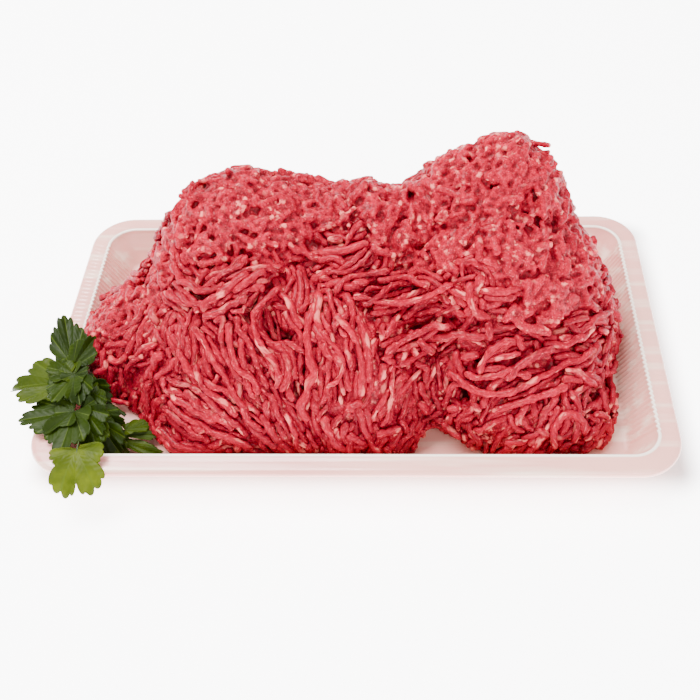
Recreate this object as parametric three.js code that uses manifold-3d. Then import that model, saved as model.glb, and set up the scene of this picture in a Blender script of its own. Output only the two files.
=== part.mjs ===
// Meat tray pack: an open foam tray with a heap of minced meat and two sprigs of
// flat-leaf parsley. Millimetres, +Z up, +X to the right, +Y to the back.
// The origin is the centre of the tray's underside.
import * as THREE from 'three';
import { mergeVertices } from 'three/addons/utils/BufferGeometryUtils.js';
import Module from 'manifold-3d';

const wasm = await Module();
wasm.setup();

// Tray
const trayLength = 375;
const trayDepth = 215;
const trayHeight = 26;
const cornerRadius = 26;
const flangeWidth = 11.5;
const wallRun = 12;
const floorThickness = 4;
const beadHeight = 0.4;
const fluteCount = 46;
const fluteDepth = 0.7;

// Meat
const heapGap = 0.3;
const blendWidth = 9;
const bumpHeight = 1.7;
const coreTurns = 34;
const coreStrips = 28;
const spineHalf = 108;
const spineHeight = 14;
const strandWidth = 4.4;
const strandSides = 4;
const strandStep = 11;
const strandCount = 80;
const strandSeed = 7;
const strandLift = 0.6;
const strandEndDip = 0.15;

// Parsley
const leafThickness = 0.7;
const leafTurns = 20;
const leafMiddle = 0.42;
const lobeReach = 0.58;
const lobeSpread = 0.8;
const sideLobeAngle = 1.25;
const leafFold = 0.12;
const stalkWidth = 2.4;
const petioleWidth = 1.3;
const stalkSides = 4;

// Repeatable random numbers from 0 to 1.
function makeRandom(seed) {
  let state = seed;
  return () => {
    state = (state * 1664525 + 1013904223) % 4294967296;
    return state / 4294967296;
  };
}

// A closed three.js geometry becomes a solid with shared corners.
function toSolid(geometry) {
  const bare = geometry.clone();
  bare.deleteAttribute('normal');
  bare.deleteAttribute('uv');
  const merged = mergeVertices(bare, 1e-4);
  const solid = new wasm.Manifold(new wasm.Mesh({
    numProp: 3,
    vertProperties: merged.attributes.position.array,
    triVerts: new Uint32Array(merged.index.array),
  }));
  return solid;
}

function toGeometry(solid) {
  const mesh = solid.getMesh();
  const geometry = new THREE.BufferGeometry();
  geometry.setAttribute('position', new THREE.BufferAttribute(mesh.vertProperties, 3));
  geometry.setIndex(new THREE.BufferAttribute(mesh.triVerts, 1));
  geometry.computeVertexNormals();
  return geometry;
}

// The largest shell alone: it drops loose scraps and fills sealed hollows.
function mainBody(solid) {
  const shells = solid.decompose();
  shells.sort((a, b) => b.volume() - a.volume());
  return shells[0];
}

function geometryFrom(points, triangles) {
  const geometry = new THREE.BufferGeometry();
  const numbers = points.flatMap((point) => [point.x, point.y, point.z]);
  geometry.setAttribute('position', new THREE.Float32BufferAttribute(numbers, 3));
  geometry.setIndex(triangles);
  geometry.computeVertexNormals();
  return geometry;
}

// Point on a rounded rectangle that lies a given inset inside the tray's outer edge.
// The share runs from 0 to 1 round it: right side, back, left side, front, each
// side first straight and then its corner.
const straightShare = 0.8;

function loopPoint(share, inset, height) {
  const radius = Math.max(cornerRadius - 0.75 * inset, 6);
  const halfX = trayLength / 2 - inset;
  const halfY = trayDepth / 2 - inset;
  const side = Math.floor(share * 4) % 4;
  const along = share * 4 - Math.floor(share * 4);
  const centreX = halfX - radius;
  const centreY = halfY - radius;
  const corners = [
    [centreX, centreY],
    [-centreX, centreY],
    [-centreX, -centreY],
    [centreX, -centreY],
  ];
  const corner = corners[side];
  const turn = side * Math.PI / 2;
  if (along > straightShare) {
    const angle = turn + (along - straightShare) / (1 - straightShare) * Math.PI / 2;
    const x = corner[0] + radius * Math.cos(angle);
    const y = corner[1] + radius * Math.sin(angle);
    return new THREE.Vector3(x, y, height);
  }
  const start = corners[(side + 3) % 4];
  const reach = along / straightShare;
  const x = start[0] + (corner[0] - start[0]) * reach + radius * Math.cos(turn);
  const y = start[1] + (corner[1] - start[1]) * reach + radius * Math.sin(turn);
  return new THREE.Vector3(x, y, height);
}

// Shares round the loop: a few on each long side and corner, and on the two
// short ends either a few or two for each flute.
function loopShares(endSteps) {
  const shares = [];
  const cornerSteps = 6;
  for (let side = 0; side < 4; side += 1) {
    const steps = side % 2 === 0 ? endSteps : 4;
    for (let i = 0; i < steps; i += 1) {
      shares.push((side + straightShare * i / steps) / 4);
    }
    for (let i = 0; i < cornerSteps; i += 1) {
      shares.push((side + straightShare + (1 - straightShare) * i / cornerSteps) / 4);
    }
  }
  return shares;
}

// The tray is one sheet of foam: its section is lofted from the middle of the
// underside, out round the rolled rim and back down to the middle of the floor.
function makeTray() {
  const wallTop = flangeWidth + 1.6;
  const wallFoot = wallTop + wallRun;
  const section = [
    { inset: wallFoot + 0.5, height: 0 },
    { inset: wallFoot - 2.5, height: 0.9 },
    { inset: flangeWidth - 2, height: trayHeight - 5 },
    { inset: 2, height: trayHeight - 4.4 },
    { inset: 0.5, height: trayHeight - 4.9 },
    { inset: 0, height: trayHeight - 2.2 },
    { inset: 1.3, height: trayHeight - 0.6 },
    { inset: 3.6, height: trayHeight },
    { inset: flangeWidth, height: trayHeight },
    { inset: flangeWidth + 0.8, height: trayHeight + beadHeight },
    { inset: wallTop, height: trayHeight - 0.5 },
    { inset: wallTop + 0.8, height: trayHeight - 2.2, fluted: true },
    { inset: wallFoot - 0.8, height: floorThickness + 2.2, fluted: true },
    { inset: wallFoot + 3, height: floorThickness },
  ];
  const points = [];
  const triangles = [];
  const rings = section.map(({ inset, height, fluted }) => {
    const shares = loopShares(fluted ? fluteCount * 2 : 4);
    const first = points.length;
    shares.forEach((share, i) => {
      const onEnd = share * 4 % 2 < straightShare;
      const ridge = fluted && onEnd ? fluteDepth * (i % 2 === 0 ? 0.5 : -0.5) : 0;
      points.push(loopPoint(share, inset + ridge, height));
    });
    return { first, shares };
  });
  const stitch = (lower, upper) => {
    const lowerCount = lower.shares.length;
    const upperCount = upper.shares.length;
    let i = 0;
    let j = 0;
    while (i < lowerCount || j < upperCount) {
      const nextLower = i + 1 < lowerCount ? lower.shares[i + 1] : 1;
      const nextUpper = j + 1 < upperCount ? upper.shares[j + 1] : 1;
      const a = lower.first + i % lowerCount;
      const b = upper.first + j % upperCount;
      if (i < lowerCount && (j >= upperCount || nextLower <= nextUpper)) {
        triangles.push(a, lower.first + (i + 1) % lowerCount, b);
        i += 1;
      } else {
        triangles.push(a, upper.first + (j + 1) % upperCount, b);
        j += 1;
      }
    }
  };
  for (let i = 1; i < rings.length; i += 1) {
    stitch(rings[i - 1], rings[i]);
  }
  const close = (ring, height, up) => {
    const middle = points.length;
    points.push(new THREE.Vector3(0, 0, height));
    const count = ring.shares.length;
    for (let i = 0; i < count; i += 1) {
      const a = ring.first + i;
      const b = ring.first + (i + 1) % count;
      triangles.push(...(up ? [middle, a, b] : [middle, b, a]));
    }
  };
  close(rings[0], 0, false);
  close(rings.at(-1), floorThickness, true);
  return geometryFrom(points, triangles);
}

// The room that the meat may fill: the tray's inside, a little smaller, and all
// that is above the rim.
function makeRoom() {
  const gap = heapGap + 0.2;
  const wallTop = flangeWidth + 1.6;
  const wallFoot = wallTop + wallRun;
  const roof = 200;
  const levels = [
    { inset: wallFoot + 3 + gap, height: floorThickness + heapGap },
    { inset: wallFoot - 0.8 + gap + fluteDepth, height: floorThickness + 2.2 + heapGap },
    { inset: wallTop + gap + fluteDepth, height: trayHeight - 0.5 },
    { inset: wallTop + gap, height: trayHeight + beadHeight + heapGap },
    { inset: 0, height: trayHeight + beadHeight + heapGap + 0.2 },
    { inset: 0, height: roof },
  ];
  const shares = loopShares(4);
  const count = shares.length;
  const points = [];
  const triangles = [];
  levels.forEach(({ inset, height }) => {
    shares.forEach((share) => points.push(loopPoint(share, inset, height)));
  });
  for (let level = 1; level < levels.length; level += 1) {
    for (let i = 0; i < count; i += 1) {
      const a = (level - 1) * count + i;
      const b = (level - 1) * count + (i + 1) % count;
      triangles.push(a, b, b + count, a, b + count, a + count);
    }
  }
  const floorMiddle = points.length;
  points.push(new THREE.Vector3(0, 0, levels[0].height));
  points.push(new THREE.Vector3(0, 0, roof));
  const top = (levels.length - 1) * count;
  for (let i = 0; i < count; i += 1) {
    const next = (i + 1) % count;
    triangles.push(floorMiddle, next, i, floorMiddle + 1, top + i, top + next);
  }
  return geometryFrom(points, triangles);
}

// The heap is a blend of mounds: middle x, y, z and half sizes along x, y, z.
const mounds = [
  { at: [-126, -2, 6], half: [38, 40, 40] },
  { at: [-146, 2, 16], half: [24, 28, 24] },
  { at: [-104, 6, 8], half: [48, 52, 62] },
  { at: [-66, 30, 10], half: [66, 54, 108] },
  { at: [-32, 34, 10], half: [40, 42, 105] },
  { at: [-62, -18, 6], half: [72, 54, 78] },
  { at: [-56, -42, 6], half: [60, 42, 52] },
  { at: [8, 28, 10], half: [56, 52, 101] },
  { at: [2, -26, 6], half: [50, 52, 80] },
  { at: [2, -48, 4], half: [38, 36, 44] },
  { at: [64, 40, 10], half: [50, 42, 124] },
  { at: [98, 38, 10], half: [44, 42, 131] },
  { at: [80, -2, 8], half: [58, 56, 104] },
  { at: [92, -40, 4], half: [52, 40, 54] },
  { at: [118, -54, 4], half: [34, 28, 34] },
  { at: [120, 10, 6], half: [34, 50, 82] },
  { at: [134, 4, 6], half: [22, 34, 48] },
];

// Height above the smooth heap, in millimetres: below zero inside it.
function smoothHeap(point) {
  let sum = 0;
  for (const { at, half } of mounds) {
    const x = (point.x - at[0]) / half[0];
    const y = (point.y - at[1]) / half[1];
    const z = (point.z - at[2]) / half[2];
    const size = Math.hypot(x, y, z);
    const slope = Math.hypot(x / half[0], y / half[1], z / half[2]) + 1e-9;
    sum += Math.exp(-size * (size - 1) / slope / blendWidth);
  }
  return -blendWidth * Math.log(sum);
}

// Uneven lumps of the packed meat, from crossed waves of two lengths.
function lumps(point) {
  const { x, y, z } = point;
  const wide = Math.sin(x / 9.1 + y / 14 + 1.3) * Math.sin(y / 8.3 + z / 12.7 + 0.4);
  const close = Math.sin(x / 5.3 + z / 6.9) * Math.sin(y / 5.1 - z / 6.1 + 2.1);
  return bumpHeight * (wide + 0.8 * close);
}

function heapField(point) {
  return smoothHeap(point) - lumps(point);
}

function heapNormal(point) {
  const step = 1.5;
  const normal = new THREE.Vector3();
  ['x', 'y', 'z'].forEach((axis) => {
    const ahead = point.clone();
    const behind = point.clone();
    ahead[axis] += step;
    behind[axis] -= step;
    normal[axis] = smoothHeap(ahead) - smoothHeap(behind);
  });
  return normal.normalize();
}

// First place outwards from the start where the lumpy heap ends.
function heapEdge(start, direction) {
  const stride = 3;
  const farthest = 260;
  let inner = 0;
  while (inner < farthest) {
    const probe = start.clone().addScaledVector(direction, inner + stride);
    if (heapField(probe) > 0) {
      break;
    }
    inner += stride;
  }
  let low = inner;
  let high = inner + stride;
  for (let i = 0; i < 12; i += 1) {
    const middle = (low + high) / 2;
    if (heapField(start.clone().addScaledVector(direction, middle)) > 0) {
      high = middle;
    } else {
      low = middle;
    }
  }
  return start.clone().addScaledVector(direction, low);
}

// The core: rays leave a spine along x, turning from the left end to the right
// end, most of them over the upper side.
function makeCore() {
  const points = [];
  const triangles = [];
  const upperTurns = Math.round(coreTurns * 0.84);
  const upperSpan = Math.PI * 1.12;
  const angles = [];
  for (let j = 0; j < coreTurns; j += 1) {
    const upper = j < upperTurns;
    const share = upper ? j / upperTurns : (j - upperTurns) / (coreTurns - upperTurns);
    const from = upper ? -(upperSpan - Math.PI) / 2 : Math.PI + (upperSpan - Math.PI) / 2;
    const span = upper ? upperSpan : 2 * Math.PI - upperSpan;
    angles.push(from + share * span);
  }
  const aim = (along, angle) => {
    const lean = Math.PI / 2 * (0.2 * along + 0.8 * along ** 3);
    const outward = Math.cos(lean);
    const direction = new THREE.Vector3(
      Math.sin(lean), outward * Math.cos(angle), outward * Math.sin(angle));
    return heapEdge(new THREE.Vector3(spineHalf * along, 0, spineHeight), direction);
  };
  points.push(aim(-1, 0));
  for (let i = 1; i < coreStrips; i += 1) {
    const along = -Math.cos(Math.PI * i / coreStrips) * 0.45 + (2 * i / coreStrips - 1) * 0.55;
    angles.forEach((angle) => points.push(aim(along, angle)));
  }
  points.push(aim(1, 0));
  const last = points.length - 1;
  const at = (i, j) => 1 + (i - 1) * coreTurns + (j + coreTurns) % coreTurns;
  for (let j = 0; j < coreTurns; j += 1) {
    triangles.push(0, at(1, j + 1), at(1, j));
    for (let i = 1; i < coreStrips - 1; i += 1) {
      triangles.push(at(i, j), at(i, j + 1), at(i + 1, j + 1));
      triangles.push(at(i, j), at(i + 1, j + 1), at(i + 1, j));
    }
    triangles.push(at(coreStrips - 1, j), at(coreStrips - 1, j + 1), last);
  }
  return toSolid(geometryFrom(points, triangles));
}

// How the strands lie in each part of the heap: a place on it and a heading,
// with how far they stray from that heading.
const flows = [
  { at: [-140, 0, 40], heading: [-0.8, -0.5, -0.6], stray: 0.5 },
  { at: [-120, -30, 25], heading: [-0.5, -0.7, -0.6], stray: 0.3 },
  { at: [-90, -30, 60], heading: [-0.2, -0.8, -0.6], stray: 0.35 },
  { at: [-70, -60, 40], heading: [0.5, -0.6, -0.6], stray: 0.15 },
  { at: [-40, -60, 40], heading: [0.45, -0.6, -0.7], stray: 0.15 },
  { at: [-75, 30, 112], heading: [0.8, -0.4, 0], stray: 1.2 },
  { at: [-30, 40, 110], heading: [0.6, 0.6, 0], stray: 1.2 },
  { at: [-25, -30, 80], heading: [0.5, -0.6, -0.5], stray: 0.4 },
  { at: [0, -70, 30], heading: [0.05, -0.7, -0.8], stray: 0.15 },
  { at: [20, -60, 50], heading: [-0.1, -0.7, -0.7], stray: 0.2 },
  { at: [20, -10, 95], heading: [0.9, -0.3, 0], stray: 0.7 },
  { at: [60, -40, 70], heading: [0.8, -0.5, -0.1], stray: 0.3 },
  { at: [70, 40, 132], heading: [0.7, 0.5, 0], stray: 1.2 },
  { at: [105, 40, 136], heading: [0.9, -0.3, 0], stray: 1.2 },
  { at: [90, -20, 105], heading: [0.9, -0.2, -0.2], stray: 0.6 },
  { at: [100, -50, 60], heading: [1, -0.1, 0.15], stray: 0.2 },
  { at: [100, -75, 30], heading: [1, -0.15, -0.25], stray: 0.25 },
  { at: [135, -40, 40], heading: [0.7, -0.5, -0.4], stray: 0.35 },
  { at: [140, 20, 60], heading: [0.4, -0.4, -0.8], stray: 0.5 },
  { at: [0, 80, 60], heading: [0.2, 0.6, -0.8], stray: 0.5 },
  { at: [100, 80, 60], heading: [0.1, 0.6, -0.8], stray: 0.5 },
  { at: [-90, 75, 50], heading: [-0.3, 0.6, -0.8], stray: 0.5 },
];

function nearestFlow(point) {
  let best = flows[0];
  let bestDistance = Infinity;
  for (const flow of flows) {
    const distance = point.distanceTo(new THREE.Vector3(...flow.at));
    if (distance < bestDistance) {
      bestDistance = distance;
      best = flow;
    }
  }
  return best;
}

// A strand lies along the heap's surface from its start, and its two ends dip
// into the meat.
function traceStrand(start, heading, steps, bend) {
  const route = [];
  const place = start.clone();
  const direction = heading.clone();
  for (let i = 0; i <= steps; i += 1) {
    const normal = heapNormal(place);
    const atEnd = i === 0 || i === steps;
    const lift = strandWidth * (atEnd ? -strandEndDip : strandLift);
    for (let pull = 0; pull < 3; pull += 1) {
      place.addScaledVector(normal, lift - heapField(place));
    }
    route.push(place.clone());
    direction.addScaledVector(normal, -direction.dot(normal)).normalize();
    const sideways = new THREE.Vector3().crossVectors(normal, direction);
    direction.addScaledVector(sideways, bend * Math.sin(i * 1.9)).normalize();
    place.addScaledVector(direction, strandStep);
  }
  return route;
}

function makeTube(route, width, sides, steps) {
  const outline = new THREE.Shape();
  for (let i = 0; i < sides; i += 1) {
    const angle = 2 * Math.PI * i / sides;
    const x = width / 2 * Math.cos(angle);
    const y = width / 2 * Math.sin(angle);
    if (i === 0) {
      outline.moveTo(x, y);
    } else {
      outline.lineTo(x, y);
    }
  }
  outline.closePath();
  const path = new THREE.CatmullRomCurve3(route);
  return toSolid(new THREE.ExtrudeGeometry(outline, { steps, extrudePath: path }));
}

// Strand starts are spread evenly: each new one is the farthest of several tries
// from those before it.
function strandStarts(random) {
  const starts = [];
  const tries = 14;
  const lowest = 16;
  while (starts.length < strandCount) {
    let best = null;
    let bestDistance = -1;
    for (let i = 0; i < tries; i += 1) {
      const along = 2 * random() - 1;
      const angle = Math.PI * random();
      const spine = new THREE.Vector3(spineHalf * along, 0, spineHeight);
      const lean = Math.PI / 2 * along ** 3;
      const direction = new THREE.Vector3(
        Math.sin(lean), Math.cos(lean) * Math.cos(angle), Math.cos(lean) * Math.sin(angle));
      const candidate = heapEdge(spine, direction);
      if (candidate.z < lowest) {
        continue;
      }
      let distance = Infinity;
      starts.forEach((start) => {
        distance = Math.min(distance, start.distanceTo(candidate));
      });
      if (distance > bestDistance) {
        bestDistance = distance;
        best = candidate;
      }
    }
    if (best) {
      starts.push(best);
    }
  }
  return starts;
}

// Strands are left out where they would touch a leaflet.
function nearParsley(point) {
  const leaflets = [...rearSprig.leaflets, ...frontSprig.leaflets];
  return leaflets.some(({ base, tip, width }) => {
    const midrib = new THREE.Line3(new THREE.Vector3(...base), new THREE.Vector3(...tip));
    const nearest = midrib.closestPointToPoint(point, true, new THREE.Vector3());
    return nearest.distanceTo(point) < width / 2 + strandWidth;
  });
}

function makeHeap() {
  const random = makeRandom(strandSeed);
  let heap = makeCore();
  strandStarts(random).forEach((start) => {
    const flow = nearestFlow(start);
    const heading = new THREE.Vector3(...flow.heading);
    heading.x += flow.stray * (random() - 0.5) * 2;
    heading.y += flow.stray * (random() - 0.5) * 2;
    const steps = 3 + Math.floor(random() * 3);
    const bend = 0.5 * (random() - 0.5);
    const width = strandWidth * (0.85 + 0.3 * random());
    const back = heading.clone().normalize().multiplyScalar(-strandStep * steps / 2);
    const route = traceStrand(start.clone().add(back), heading.normalize(), steps, bend);
    if (!route.some(nearParsley)) {
      heap = heap.add(makeTube(route, width, strandSides, steps));
    }
  });
  return mainBody(heap.intersect(toSolid(makeRoom())));
}

// Distance from a leaf's middle to its edge at an angle from the midrib, as a
// share of the leaf's length: three toothed lobes and a wedge at the stalk.
function leafEdge(angle, sideLobe, cleft) {
  const lobes = [
    { angle: 0, reach: lobeReach, spread: lobeSpread },
    { angle: sideLobeAngle, reach: lobeReach * sideLobe, spread: lobeSpread },
    { angle: -sideLobeAngle, reach: lobeReach * sideLobe, spread: lobeSpread },
    { angle: Math.PI, reach: leafMiddle, spread: lobeSpread },
  ];
  let edge = lobeReach * (1 - cleft);
  lobes.forEach((lobe) => {
    const turn = angle - lobe.angle;
    const away = Math.abs(Math.atan2(Math.sin(turn), Math.cos(turn)));
    const fall = Math.max(0, 1 - (away / lobe.spread) ** 2);
    const tooth = lobe.angle === Math.PI ? 0 : 0.05 * Math.cos(away * 14);
    edge = Math.max(edge, lobe.reach * (0.3 + 0.7 * Math.sqrt(fall)) * (1 + tooth));
  });
  return edge;
}

// One leaflet: a thin wavy sheet from its base to its tip. The width is that of
// the whole leaflet, the cup lifts its edges and the droop lowers its tip.
function makeLeaflet({ base, tip, face = [0, 0, 1], width, sideLobe = 0.85, cleft = 0.62, droop = 0, wave = 1.4 }) {
  const start = new THREE.Vector3(...base);
  const along = new THREE.Vector3(...tip).sub(start);
  const length = along.length();
  along.normalize();
  const up = new THREE.Vector3(...face);
  up.addScaledVector(along, -up.dot(along)).normalize();
  const across = new THREE.Vector3().crossVectors(up, along);
  const sideReach = length * lobeReach * sideLobe * Math.sin(sideLobeAngle);
  const sideScale = width / (2 * sideReach);
  const shares = [0.5, 1];
  const layers = [0.5, -0.5].map((side) => {
    const layer = [];
    const place = (share, angle) => {
      const edge = leafEdge(angle, sideLobe, cleft) * length;
      const u = leafMiddle * length + share * edge * Math.cos(angle);
      const v = share * edge * Math.sin(angle) * sideScale;
      const ripple = wave * share * Math.sin(3 * angle + length) - droop * (u / length) ** 2;
      const fold = leafFold * Math.abs(v);
      const height = ripple + fold + side * leafThickness;
      return start.clone().addScaledVector(along, u).addScaledVector(across, v).addScaledVector(up, height);
    };
    layer.push(place(0, 0));
    shares.forEach((share) => {
      for (let i = 0; i < leafTurns; i += 1) {
        layer.push(place(share, 2 * Math.PI * i / leafTurns));
      }
    });
    return layer;
  });
  const points = layers.flat();
  const below = layers[0].length;
  const triangles = [];
  const at = (ring, i) => 1 + ring * leafTurns + i % leafTurns;
  const addFace = (a, b, c) => {
    triangles.push(a, b, c, a + below, c + below, b + below);
  };
  for (let i = 0; i < leafTurns; i += 1) {
    addFace(0, at(0, i), at(0, i + 1));
    addFace(at(0, i), at(1, i), at(1, i + 1));
    addFace(at(0, i), at(1, i + 1), at(0, i + 1));
    const a = at(1, i);
    const b = at(1, i + 1);
    triangles.push(a, a + below, b + below, a, b + below, b);
  }
  return toSolid(geometryFrom(points, triangles));
}

function makeStalk(route, width) {
  const points = route.map((place) => new THREE.Vector3(...place));
  return makeTube(points, width, stalkSides, route.length);
}

function makeSprig({ stalks, leaflets }) {
  const pieces = [
    ...stalks.map(({ route, width }) => makeStalk(route, width)),
    ...leaflets.map(makeLeaflet),
  ];
  return mainBody(pieces.reduce((whole, piece) => whole.add(piece)));
}

// The rear sprig leans over the left rim.
const rearSprig = {
  stalks: [
    { route: [[-140, -57, 12], [-150, -53, 20], [-163, -46, 29], [-171, -38, 32], [-175, -28, 33.5]], width: stalkWidth },
    { route: [[-170, -39, 32], [-176, -44, 32], [-186, -46, 31.5]], width: petioleWidth },
    { route: [[-170, -39, 32], [-169, -45, 33], [-166, -55, 33.5]], width: petioleWidth },
    { route: [[-171, -38, 32], [-169, -31, 33.5], [-167, -26, 35]], width: petioleWidth },
    { route: [[-162, -47, 28.5], [-157, -50, 26.5], [-151, -50, 23]], width: petioleWidth },
  ],
  leaflets: [
    { base: [-172, -37, 32.5], tip: [-187, 1, 40], width: 18, sideLobe: 0.72 },
    { base: [-171, -34, 33], tip: [-166, -15, 40], width: 9, sideLobe: 0.6, cleft: 0.5 },
    { base: [-173, -43, 32], tip: [-209, -47, 29], width: 30, sideLobe: 0.95, cleft: 0.7, droop: 2 },
    { base: [-170, -43, 33], tip: [-160, -74, 33.5], width: 15, sideLobe: 0.7 },
    { base: [-160, -50, 26.5], tip: [-144, -51, 18], width: 11, sideLobe: 0.7 },
  ],
};

// The front sprig lies in the corner, with one leaflet hanging over the front rim.
const frontSprig = {
  stalks: [
    { route: [[-124, -68, 8.5], [-138, -71, 12], [-147, -72, 19], [-157, -70, 26], [-164, -70, 28.5]], width: stalkWidth },
    { route: [[-160, -70, 27.6], [-168, -70.5, 28.8], [-178, -71, 29]], width: petioleWidth },
    { route: [[-158, -70, 27], [-162, -76, 28.5], [-165, -82, 28.8]], width: petioleWidth },
    { route: [[-157, -70, 26.5], [-157, -81, 30], [-156, -94, 30.8], [-155, -103, 30]], width: petioleWidth },
    { route: [[-148, -72, 20], [-146, -76, 17], [-141, -79, 13]], width: petioleWidth },
    { route: [[-140, -71.5, 13], [-134, -77, 10], [-126, -80, 8.5]], width: petioleWidth },
  ],
  leaflets: [
    { base: [-162, -69.5, 28.5], tip: [-196, -75, 28.5], width: 24, sideLobe: 0.75, wave: 0.8 },
    { base: [-161, -71, 28.5], tip: [-168, -97, 28.8], width: 22, sideLobe: 0.75, wave: 0.8 },
    { base: [-156, -92, 31], tip: [-153, -121, 31], width: 33, sideLobe: 1, cleft: 0.66, droop: 14 },
    { base: [-150, -71, 20], tip: [-138, -83, 10], width: 18, sideLobe: 0.8 },
    { base: [-141, -72, 13], tip: [-112, -68, 9], width: 7, sideLobe: 0.5, cleft: 0.5, wave: 0.6 },
    { base: [-136, -76, 10.5], tip: [-112, -82, 8.5], width: 6, sideLobe: 0.5, cleft: 0.5, wave: 0.6 },
  ],
};

function addPiece(group, name, geometry, colour, roughness) {
  const material = new THREE.MeshStandardMaterial({ color: colour, roughness, metalness: 0 });
  const mesh = new THREE.Mesh(geometry, material);
  mesh.name = name;
  group.add(mesh);
}

const pack = new THREE.Group();
addPiece(pack, 'foam_tray', makeTray(), 0xf1dfe2, 0.35);
addPiece(pack, 'mince_heap', toGeometry(makeHeap()), 0xc23a4b, 0.4);
addPiece(pack, 'parsley_sprig_rear', toGeometry(makeSprig(rearSprig)), 0x4a7a22, 0.6);
addPiece(pack, 'parsley_sprig_front', toGeometry(makeSprig(frontSprig)), 0x5a8a28, 0.6);

export default pack;
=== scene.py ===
import math

import bmesh
import bpy
import numpy as np
from mathutils import Matrix, Vector


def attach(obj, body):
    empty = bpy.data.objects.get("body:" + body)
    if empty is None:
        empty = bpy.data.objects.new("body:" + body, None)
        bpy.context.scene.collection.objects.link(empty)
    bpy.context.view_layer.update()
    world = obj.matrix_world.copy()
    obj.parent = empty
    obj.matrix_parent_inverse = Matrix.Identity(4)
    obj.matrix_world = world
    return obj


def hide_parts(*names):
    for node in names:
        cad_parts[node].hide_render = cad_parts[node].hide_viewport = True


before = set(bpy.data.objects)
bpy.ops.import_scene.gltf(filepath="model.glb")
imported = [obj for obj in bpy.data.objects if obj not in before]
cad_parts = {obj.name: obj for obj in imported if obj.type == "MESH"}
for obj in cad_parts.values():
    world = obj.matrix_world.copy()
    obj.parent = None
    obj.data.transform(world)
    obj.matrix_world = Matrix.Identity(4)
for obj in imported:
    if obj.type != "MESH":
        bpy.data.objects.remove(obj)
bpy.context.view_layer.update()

# Viewpoint
# The camera stands in front of the tray and above it, looks down at the heap by 49 degrees
# and is rolled a little, as the slope of the tray's front rim shows.
camera_at = Vector((0.0339, -0.3974, 0.4696))
camera_down = math.radians(49.34)
camera_turn = math.radians(-3.11)
camera_roll = math.radians(-2.51)


def new_object(name, data):
    made = bpy.data.objects.new(name, data)
    bpy.context.scene.collection.objects.link(made)
    return made


camera = bpy.data.cameras.new("tray_camera")
camera.sensor_width = 36.0
camera.lens = 48.57
camera.shift_x = -0.04
camera.clip_start = 0.01
camera.dof.use_dof = False
camera_stand = new_object("tray_camera", camera)
look = Vector((math.sin(camera_turn) * math.cos(camera_down),
               math.cos(camera_turn) * math.cos(camera_down),
               -math.sin(camera_down)))
level = Vector((math.cos(camera_turn), -math.sin(camera_turn), 0.0))
upward = level.cross(look)
camera_right = level * math.cos(camera_roll) + upward * math.sin(camera_roll)
camera_top = upward * math.cos(camera_roll) - level * math.sin(camera_roll)
camera_axes = Matrix((camera_right, camera_top, -look)).transposed()
camera_stand.matrix_world = Matrix.Translation(camera_at) @ camera_axes.to_4x4()
bpy.context.scene.camera = camera_stand

# Foam tray
# One sheet of pinkish white foam, pressed into a shallow tray. It has a flat rim with a rolled
# lip, a raised line on the rim's inner edge, and end walls pressed into narrow upright flutes.
tray_length = 375.0
tray_depth = 215.0
tray_corner = 26.0
least_corner = 6.0
corner_shrink = 0.75
crest_start = 11.5
crest_end = 13.1
crest_ripple = 0.25
rim_level = 25.0
flute_count = 46
flute_points = 8
flute_relief = 0.6
corner_points = 16
side_points = 48
# A point of the foam's section has its distance in from the outer edge, its height, and its share
# of the flutes' relief.
tray_section = [
    (25.6, 0.0, 0), (24.2, 0.1, 0), (22.6, 0.9, 0), (20.4, 4.2, 0), (16.0, 11.0, 0),
    (10.4, 19.6, 0), (9.5, 20.7, 0), (8.2, 21.2, 0), (5.0, 21.4, 0), (2.4, 21.4, 0),
    (1.2, 21.2, 0), (0.5, 21.4, 0), (0.1, 22.2, 0), (0.0, 23.6, 0), (0.4, 24.7, 0),
    (1.3, 25.5, 0), (2.4, 25.9, 0.3), (3.6, 26.0, 0.5), (7.5, 25.9, 0.5), (11.0, 25.9, 0.5),
    (11.6, 26.3, 0.8), (12.3, 26.5, 1), (12.9, 26.2, 1), (13.2, 25.3, 1), (13.9, 23.8, 1),
    (15.6, 20.9, 1), (18.0, 16.9, 1), (20.5, 12.6, 1), (22.8, 8.7, 1), (24.3, 6.2, 0.8),
    (25.2, 5.1, 0.4), (26.4, 4.4, 0), (28.1, 4.0, 0),
]


def tray_edge(station, inset):
    radius = max(tray_corner - corner_shrink * inset, least_corner)
    reach_x = tray_length / 2 - inset - radius
    reach_y = tray_depth / 2 - inset - radius
    corners = [(reach_x, reach_y), (-reach_x, reach_y), (-reach_x, -reach_y), (reach_x, -reach_y)]
    side, part, along = station
    turn = side * math.pi / 2
    if part == "corner":
        angle = turn + along * math.pi / 2
        return (corners[side][0] + radius * math.cos(angle),
                corners[side][1] + radius * math.sin(angle))
    before = corners[(side + 3) % 4]
    after = corners[side]
    return (before[0] + (after[0] - before[0]) * along + radius * math.cos(turn),
            before[1] + (after[1] - before[1]) * along + radius * math.sin(turn))


def mesh_data(name, mesh):
    data = bpy.data.meshes.new(name)
    mesh.to_mesh(data)
    mesh.free()
    return data


tray_stations = []
for side in range(4):
    steps = flute_count * flute_points if side % 2 == 0 else side_points
    tray_stations += [(side, "straight", i / steps) for i in range(steps)]
    tray_stations += [(side, "corner", i / corner_points) for i in range(corner_points)]
tray_stations.append(tray_stations[0])

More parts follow.
